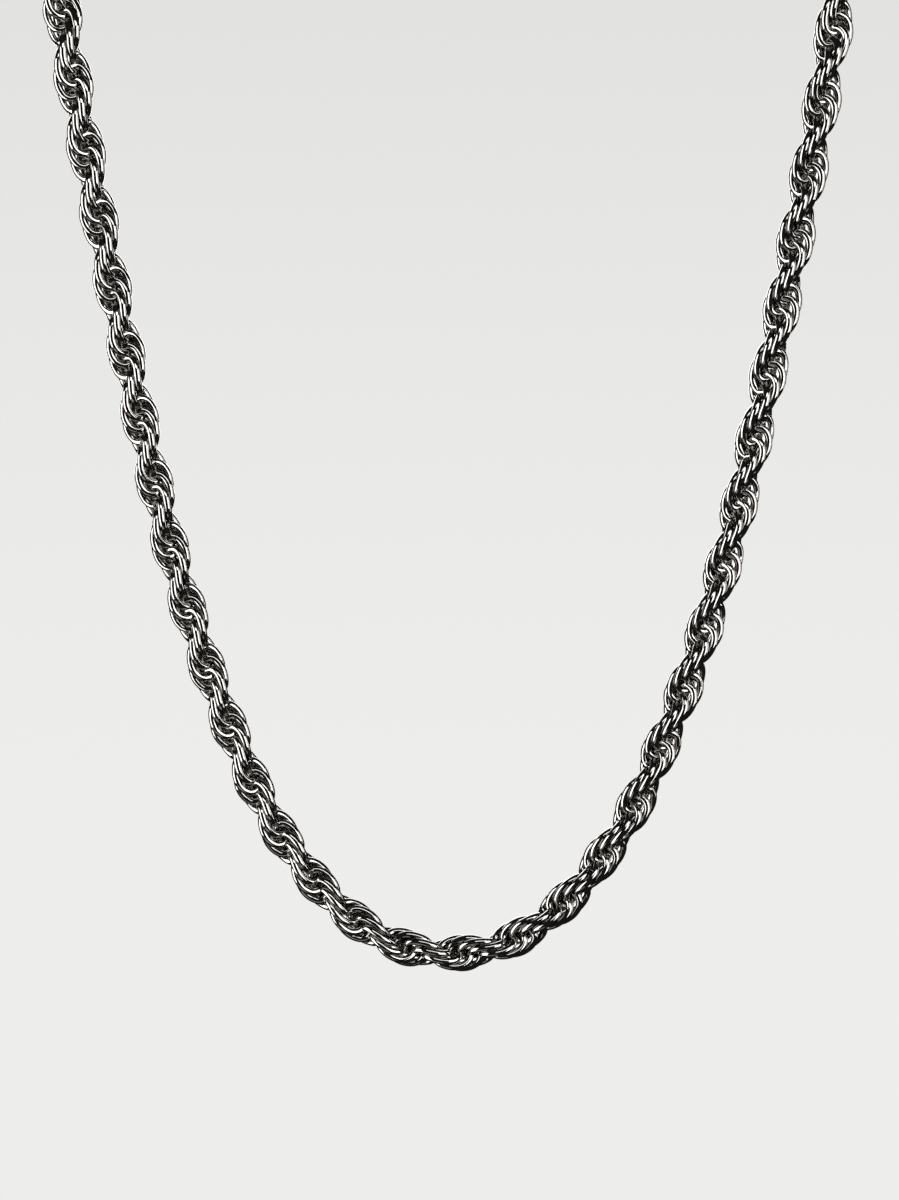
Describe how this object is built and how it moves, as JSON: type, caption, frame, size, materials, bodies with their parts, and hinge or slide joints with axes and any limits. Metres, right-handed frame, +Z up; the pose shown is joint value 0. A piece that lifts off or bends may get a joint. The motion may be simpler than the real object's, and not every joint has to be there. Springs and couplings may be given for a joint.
{
  "type": "rope chain necklace",
  "caption": "Twisted rope chain of interlocked wire links, a plain necklace closed at the back by a barrel clasp.",
  "frame": {"origin": "centre of the neck hollow, level with the loop's highest stretch and midway from front to back", "axes": "+Z up as worn, +Y towards the back of the neck and the clasp, +X to the right of someone who looks at the front"},
  "size_m": [0.109, 0.0741, 0.1548],
  "materials": {
    "link_steel": "polished dark stainless steel wire",
    "clasp_steel": "brushed stainless steel"
  },
  "bodies": {
    "root": {"rope": "link_steel", "clasp": "clasp_steel"}
  },
  "joints": []
}
